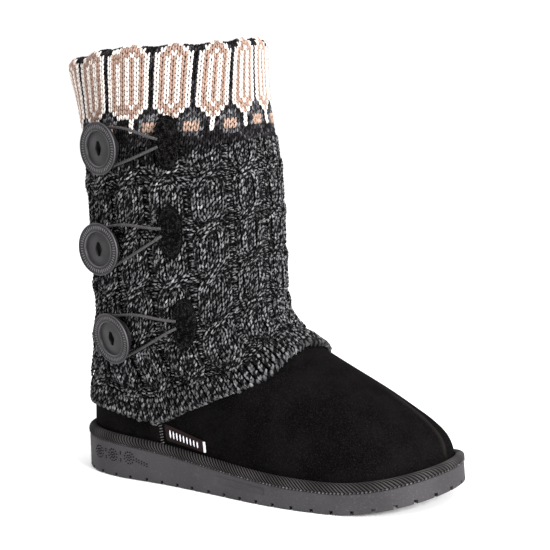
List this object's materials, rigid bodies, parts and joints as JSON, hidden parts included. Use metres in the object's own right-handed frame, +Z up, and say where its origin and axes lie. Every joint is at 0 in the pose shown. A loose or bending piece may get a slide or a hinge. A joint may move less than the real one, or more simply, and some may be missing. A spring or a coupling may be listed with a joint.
{
  "type": "mukluk boot",
  "caption": "Mid-calf right boot with a rounded faux suede foot, a ribbed rand, a lugged unit sole and a buttoned cable-knit shaft with a patterned band.",
  "frame": {"origin": "on the ground under the middle of the heel, on the flat underside of the sole", "axes": "+Z up, +X along the foot to the toe, -Y to the outer side of this right boot and +Y to its inner side"},
  "size_m": [0.275, 0.1227, 0.2848],
  "materials": {
    "sole_rubber": "mid-grey moulded rubber with a fine grain",
    "rand_rubber": "charcoal bead with fine slanting ribs",
    "faux_suede": "near-black brushed faux suede",
    "insole_fleece": "dark grey brushed fleece",
    "marled_knit": "black and light grey marled sweater knit, with a cream, tan and grey stitched band at the top",
    "button_plastic": "dark gunmetal grey, satin",
    "elastic_cord": "grey and black braided elastic",
    "patch_suede": "near-black brushed faux suede over padding",
    "tag_tape": "brown woven tape with a pale end"
  },
  "bodies": {
    "root": {"outsole": "sole_rubber", "rand": "rand_rubber", "upper": "faux_suede", "insole": "insole_fleece", "knit_sleeve": "marled_knit", "button_1": "button_plastic", "button_2": "button_plastic", "button_3": "button_plastic", "loop_1": "elastic_cord", "loop_2": "elastic_cord", "loop_3": "elastic_cord", "patch_1": "patch_suede", "patch_2": "patch_suede", "patch_3": "patch_suede", "side_tag": "tag_tape"}
  },
  "joints": []
}
